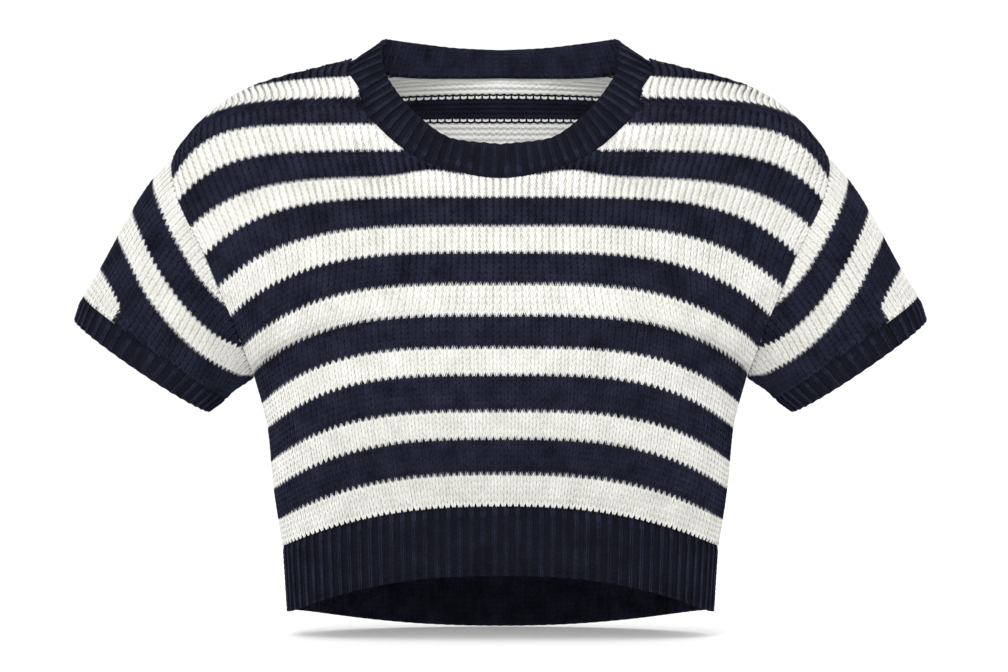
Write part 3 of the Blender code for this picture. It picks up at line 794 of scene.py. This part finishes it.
def make_sleeve(word, side, first_seed):
    """A sleeve's cloth and its stitches in both yarns."""
    place = sleeve_place(side)
    columns = np.arange(0, SLEEVE_STITCHES + 1.0)
    turns = half_turn(columns)
    stitches = np.tile(columns, (SLEEVE_LEVELS, 1))
    first = smooth(SLEEVE_ROWS, "armhole", turns)
    last = smooth(SLEEVE_ROWS, "cuff", turns)
    rows = first + (last - first) * np.linspace(0, 1, SLEEVE_LEVELS)[:, None]
    outer = place(stitches, rows, np.full(rows.shape, CLOTH_OUTSIDE))[:, :-1]
    inner = place(stitches, rows, np.full(rows.shape, CLOTH_INSIDE))[:, :-1]
    striped = (rows <= LAST_STRIPE_ROW) | (turns >= LAST_STRIPE_TURN)
    marks = np.where(striped, rows, LAST_STRIPE_ROW - INTO_NAVY)
    sides = (striped_cloth_painted_shade, striped_inside_painted_light)
    cloth = wall(f"{word}_sleeve_cloth", stitches, marks, outer, inner, True, side > 0, sides)
    for seed, (colour, yarn) in enumerate(YARNS, first_seed):
        places = sleeve_stitches(colour == "white")
        knit(f"{word}_sleeve_{colour}_stitches", places, yarn, place, side > 0, seed)
    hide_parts(f"sleeve_{word}")


make_sleeve("left", -1, first_seed=11)
make_sleeve("right", 1, first_seed=21)

# ---------------------------------------------------------------- cuffs
# Navy one-by-one rib of the same wool, knitted on below each sleeve and cast off. Its knit columns
# stand up and its purl columns sink in, and it draws in the end of the sleeve a little.

CUFF_EDGE = Ring(362.0, -240.0, 248.0, -318.0, 46.0, 2.6)
CUFF_ROWS = 6

# Ribs rise to RIB_HEIGHT over RIB_FADE rows. Their band lies SEAM_SINK deeper at its seam, and runs
# on PAST_SEAM rows under the piece that it is sewn to.
RIB_HEIGHT = 1.7 * MM
RIB_WALL = 1.0 * MM
RIB_FADE = 1.5
RIB_STEP = 0.25
RIB_LEVELS = 6
RIB_STITCH = (("Yarn Radius", 1.2 * MM), ("Foot Spread", 0.15), ("Head Spread", 0.31))
SEAM_SINK = 0.9 * MM
PAST_SEAM = 0.4


def ribbed_place(seam, edge, ways, wales, rows, wrap, from_edge):
    """A function that gives the place of any stitch, row and height of a ribbed band.

    Ribs stand up on both sides: outside on the odd columns, inside on the even ones. They flatten
    and sink a little where the band is sewn on.
    """

    def place(stitch, row, height):
        from_seam = np.clip(rows - row if from_edge else row, -PAST_SEAM, rows)
        share_round = stitch / wales
        if wrap:
            share_round = np.where(share_round > 1, share_round - 1, share_round)
            share_round = np.where(share_round < 0, share_round + 1, share_round)
        column = np.clip(share_round, 0, 1) * (len(seam) - 1)
        start = np.clip(column.astype(int), 0, len(seam) - 2)
        share = (column - start)[..., None]
        low = seam[start] * (1 - share) + seam[start + 1] * share
        high = edge[start] * (1 - share) + edge[start + 1] * share
        way = unit(ways[start] * (1 - share) + ways[start + 1] * share)
        fade = np.clip(from_seam / RIB_FADE, 0, 1)
        wave = -np.cos(math.pi * stitch) * RIB_HEIGHT / 2 * fade
        lift = wave - YARN_SINK - SEAM_SINK * (1 - fade)
        return low + (high - low) * (from_seam / rows)[..., None] + way * (height + lift)[..., None]

    return place


def make_rib(name, node, place, wales, rows, wrap, from_edge, flipped, seed):
    """A ribbed band: its cloth, and the stitches of its knit columns on either side."""
    columns = np.arange(0, wales + RIB_STEP / 2, RIB_STEP)
    stitches = np.tile(columns, (RIB_LEVELS, 1))
    first, last = (0, rows + PAST_SEAM) if from_edge else (-PAST_SEAM, rows)
    levels = np.tile(np.linspace(first, last, RIB_LEVELS)[:, None], (1, len(columns)))
    outer = place(stitches, levels, np.full(levels.shape, 0.0))
    inner = place(stitches, levels, np.full(levels.shape, -RIB_WALL))
    if wrap:
        outer = outer[:, :-1]
        inner = inner[:, :-1]
    sides = (navy_cloth_painted_shade, navy_inside)
    cloth = wall(f"{name}_cloth", stitches, levels, outer, inner, wrap, flipped, sides)
    outside = np.array([(wale, row) for wale in range(1, wales, 2) for row in range(rows)], float)
    inside = np.array([(wale, row) for wale in range(0, wales, 2) for row in range(rows)], float)

    def inside_place(stitch, row, height):
        return place(stitch, row, -RIB_WALL - height)

    inner_name = f"{name}_inner_stitches"
    yarns = [
        knit(f"{name}_stitches", outside, navy_wool, place, flipped, seed, RIB_STITCH),
        knit(inner_name, inside, navy_wool, inside_place, not flipped, seed + 1, RIB_STITCH),
    ]
    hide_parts(node)


for word, side in (("left", -1), ("right", 1)):
    turns = np.linspace(0, 1, 2 * SLEEVE_STITCHES + 1)
    seam = ring_points(CUFF_SEAM, side, turns)
    edge = ring_points(CUFF_EDGE, side, turns)
    ways = grid_ways(np.array([seam, (seam + edge) / 2, edge]), wrap=True)[1] * (-side)
    make_rib(
        f"{word}_cuff",
        node=f"cuff_{word}",
        place=ribbed_place(seam, edge, ways, SLEEVE_STITCHES, CUFF_ROWS, wrap=True, from_edge=False),
        wales=SLEEVE_STITCHES,
        rows=CUFF_ROWS,
        wrap=True,
        from_edge=False,
        flipped=side > 0,
        seed=30 + side,
    )

# ---------------------------------------------------------------- hem ribs
# Deep navy one-by-one rib, knitted on below each panel, 48 ribs wide, and cast off. The two meet at
# the side seams. Their open edge rises to the middle in front, and sinks to the middle behind.

# Open edge of each rib, in millimetres. It stays near its middle height longer where fall is more.
HemEdge = namedtuple("HemEdge", "x side_z depth middle_z fall")
HEM_EDGE_FRONT = HemEdge(181, -487, 93, -451, 2.4)
HEM_EDGE_BACK = HemEdge(181, -487, 93, -507, 2.2)

# Shape of the open edge seen from above
HEM_FLAT = 2.2
HEM_ROUND = 2.15
HEM_WALES = 96
HEM_ROWS = 13


def hem_edge_line(edge, back):
    """The open edge of a hem rib from side seam to side seam, in even steps."""
    ends = np.sin(np.linspace(-1, 1, CURVE_SAMPLES) * math.pi / 2)
    out = edge.depth * np.maximum(1 - np.abs(ends) ** HEM_FLAT, 0) ** (1 / HEM_ROUND)
    height = edge.middle_z + (edge.side_z - edge.middle_z) * np.abs(ends) ** edge.fall
    line = np.stack([edge.x * ends, out if back else -out, height], axis=1) * MM
    return evenly(line, np.linspace(0, 1, 2 * HEM_WALES + 1))


for word, back, edge, panel in (
    ("front", False, HEM_EDGE_FRONT, front_place),
    ("back", True, HEM_EDGE_BACK, back_place),
):
    columns = np.linspace(-HALF_STITCHES, HALF_STITCHES, 2 * HEM_WALES + 1)
    top = panel(columns, np.zeros(len(columns)), np.zeros(len(columns)))
    bottom = hem_edge_line(edge, back)
    ways = grid_ways(np.array([bottom, (top + bottom) / 2, top]), wrap=False)[1] * (-1 if back else 1)
    make_rib(
        f"{word}_hem",
        node=f"hem_rib_{word}",
        place=ribbed_place(top, bottom, ways, HEM_WALES, HEM_ROWS, wrap=False, from_edge=True),
        wales=HEM_WALES,
        rows=HEM_ROWS,
        wrap=False,
        from_edge=True,
        flipped=back,
        seed=40 + back,
    )

# ---------------------------------------------------------------- neckband
# A ring of navy one-by-one rib, 72 ribs round, picked up along the neckline and cast off. It leans
# in over the shoulders, and stands up behind.

# Upper edge of the band, in millimetres. turn is 0 in the front middle and 1 in the back middle.
BandEdge = namedtuple("BandEdge", "turn x y z")
BAND_EDGE = [
    BandEdge(0.00, 0, -81, -94),
    BandEdge(0.11, 38, -76, -89.5),
    BandEdge(0.22, 68, -62, -70),
    BandEdge(0.32, 86, -44, -49),
    BandEdge(0.42, 99, -21, -25),
    BandEdge(0.50, 101.5, -2, -5),
    BandEdge(0.58, 98, 17, 1),
    BandEdge(0.73, 70, 43, -1.5),
    BandEdge(0.86, 36, 55, -4.5),
    BandEdge(1.00, 0, 58, -5.6),
]
BAND_WALES_FRONT = 80
BAND_WALES_BACK = 64
BAND_WALES = BAND_WALES_FRONT + BAND_WALES_BACK
BAND_ROWS = 6

stitches = np.sin(np.linspace(-1, 1, CURVE_SAMPLES) * math.pi / 2) * NECK_HALF_STITCHES
level = np.zeros(len(stitches))
front_neck = front_place(stitches, top_row(False, stitches), level)
back_neck = back_place(stitches, top_row(True, stitches), level)[::-1]
seam = np.concatenate(
    [
        evenly(front_neck, np.linspace(0, 1, 2 * BAND_WALES_FRONT + 1)),
        evenly(back_neck, np.linspace(0, 1, 2 * BAND_WALES_BACK + 1))[1:],
    ]
)
turns = np.concatenate(
    [np.linspace(-0.5, 0.5, 2 * BAND_WALES_FRONT + 1), np.linspace(0.5, 1.5, 2 * BAND_WALES_BACK + 1)[1:]]
)
half = 1 - np.abs(1 - np.mod(turns, 2))
edge = np.stack([smooth(BAND_EDGE, axis, half) for axis in ("x", "y", "z")], axis=1) * MM
edge[:, 0] *= np.where(np.mod(turns, 2) <= 1, 1, -1)
ways = grid_ways(np.array([seam, (seam + edge) / 2, edge]), wrap=True)[1]
make_rib(
    "neckband",
    node="neckband",
    place=ribbed_place(seam, edge, ways, BAND_WALES, BAND_ROWS, wrap=True, from_edge=False),
    wales=BAND_WALES,
    rows=BAND_ROWS,
    wrap=True,
    from_edge=False,
    flipped=False,
    seed=50,
)

# ---------------------------------------------------------------- floor, light and camera
# A white studio sweep just below the hem, curved up behind, with soft light from the front and
# above. The camera is level, three metres away, and frames the sweater as the photograph does.

FLOOR_HEIGHT = -0.5078
SWEEP_HALF_WIDTH = 30.0
SWEEP_FRONT = -30.0
SWEEP_BACK = 12.0
SWEEP_RADIUS = 4.0
SWEEP_TOP = 14.0
SWEEP_STEPS = 16
SWEEP_WHITE = 0.93
SWEEP_ROUGHNESS = 0.9
SWEEP_GLOW = 0.22
ROOM_LIGHT = 0.78
sweep_line = [(SWEEP_FRONT, FLOOR_HEIGHT)]
for step in range(SWEEP_STEPS + 1):
    angle = step / SWEEP_STEPS * math.pi / 2
    along = SWEEP_BACK - SWEEP_RADIUS + SWEEP_RADIUS * math.sin(angle)
    sweep_line.append((along, FLOOR_HEIGHT + SWEEP_RADIUS * (1 - math.cos(angle))))
sweep_line.append((SWEEP_BACK, SWEEP_TOP))
corners = [(side * SWEEP_HALF_WIDTH, y, z) for y, z in sweep_line for side in (-1, 1)]
faces = [(2 * i, 2 * i + 1, 2 * i + 3, 2 * i + 2) for i in range(len(sweep_line) - 1)]
sweep_mesh = bpy.data.meshes.new("studio_sweep")
sweep_mesh.from_pydata(corners, [], faces)
sweep_mesh.shade_smooth()
sweep_paint = bpy.data.materials.new("sweep_paint")
sweep_paint.use_nodes = True
paint_shader = sweep_paint.node_tree.nodes["Principled BSDF"]
paint_shader.inputs["Base Color"].default_value = (SWEEP_WHITE, SWEEP_WHITE, SWEEP_WHITE, 1)
paint_shader.inputs["Roughness"].default_value = SWEEP_ROUGHNESS
paint_shader.inputs["Specular IOR Level"].default_value = 0.0
paint_shader.inputs["Emission Color"].default_value = (1, 1, 1, 1)
paint_shader.inputs["Emission Strength"].default_value = SWEEP_GLOW
sweep_mesh.materials.append(sweep_paint)
sweep = bpy.data.objects.new("studio_sweep", sweep_mesh)
bpy.context.scene.collection.objects.link(sweep)

bpy.context.scene.view_settings.view_transform = "Standard"
world = bpy.data.worlds.new("studio")
bpy.context.scene.world = world
world.use_nodes = True
world.node_tree.nodes["Background"].inputs["Color"].default_value = (1, 1, 1, 1)
world.node_tree.nodes["Background"].inputs["Strength"].default_value = ROOM_LIGHT


def hang_light(light, at, target):
    """Hangs a light at a place and turns it to face another."""
    holder = bpy.data.objects.new(light.name, light)
    holder.location = at
    holder.rotation_euler = (Vector(target) - Vector(at)).to_track_quat("-Z", "Y").to_euler()
    bpy.context.scene.collection.objects.link(holder)


# Soft square lamps round the sweater: metres and watts
Softbox = namedtuple("Softbox", "name at size power")
MIDDLE_OF_SWEATER = (0, 0, -0.25)
for box in (
    Softbox("key_light", (-0.6, -2.5, 1.9), 1.4, 44),
    Softbox("front_light", (0.0, -3.4, 0.5), 1.0, 14),
    Softbox("left_light", (-2.4, -1.8, 0.2), 1.4, 9),
    Softbox("right_light", (2.4, -1.8, 0.2), 1.4, 9),
    Softbox("top_light", (0.2, 0.8, 2.2), 1.6, 18),
):
    lamp = bpy.data.lights.new(box.name, "AREA")
    lamp.size = box.size
    lamp.energy = box.power
    hang_light(lamp, box.at, MIDDLE_OF_SWEATER)

# A narrow soft spot looks down into the neck, so that its stripes and purl bumps show
NECK_SPOT_AT = (0, -2.2, 1.5)
INSIDE_OF_NECK = (0, 0.08, -0.06)
NECK_SPOT_POWER = 130
NECK_SPOT_ANGLE = math.radians(7)
NECK_SPOT_BLEND = 1.0
NECK_SPOT_RADIUS = 0.15
spot = bpy.data.lights.new("neck_light", "SPOT")
spot.energy = NECK_SPOT_POWER
spot.spot_size = NECK_SPOT_ANGLE
spot.spot_blend = NECK_SPOT_BLEND
spot.shadow_soft_size = NECK_SPOT_RADIUS
hang_light(spot, NECK_SPOT_AT, INSIDE_OF_NECK)

# In the photograph the sweater's middle lies 3.5 pixels left of the picture's
CAMERA_DISTANCE = 3.0
CAMERA_HEIGHT = -0.2533
METRES_TO_A_PIXEL = 0.00085
PICTURE_WIDTH = 1008
PICTURE_SHIFT = 3.5
FILM_WIDTH = 36
camera = bpy.data.cameras.new("camera")
camera.sensor_width = FILM_WIDTH
camera.lens = FILM_WIDTH * CAMERA_DISTANCE / (PICTURE_WIDTH * METRES_TO_A_PIXEL)
camera.shift_x = PICTURE_SHIFT / PICTURE_WIDTH
holder = bpy.data.objects.new("camera", camera)
holder.location = (0, -CAMERA_DISTANCE, CAMERA_HEIGHT)
holder.rotation_euler = (math.pi / 2, 0, 0)
bpy.context.scene.collection.objects.link(holder)
bpy.context.scene.camera = holder
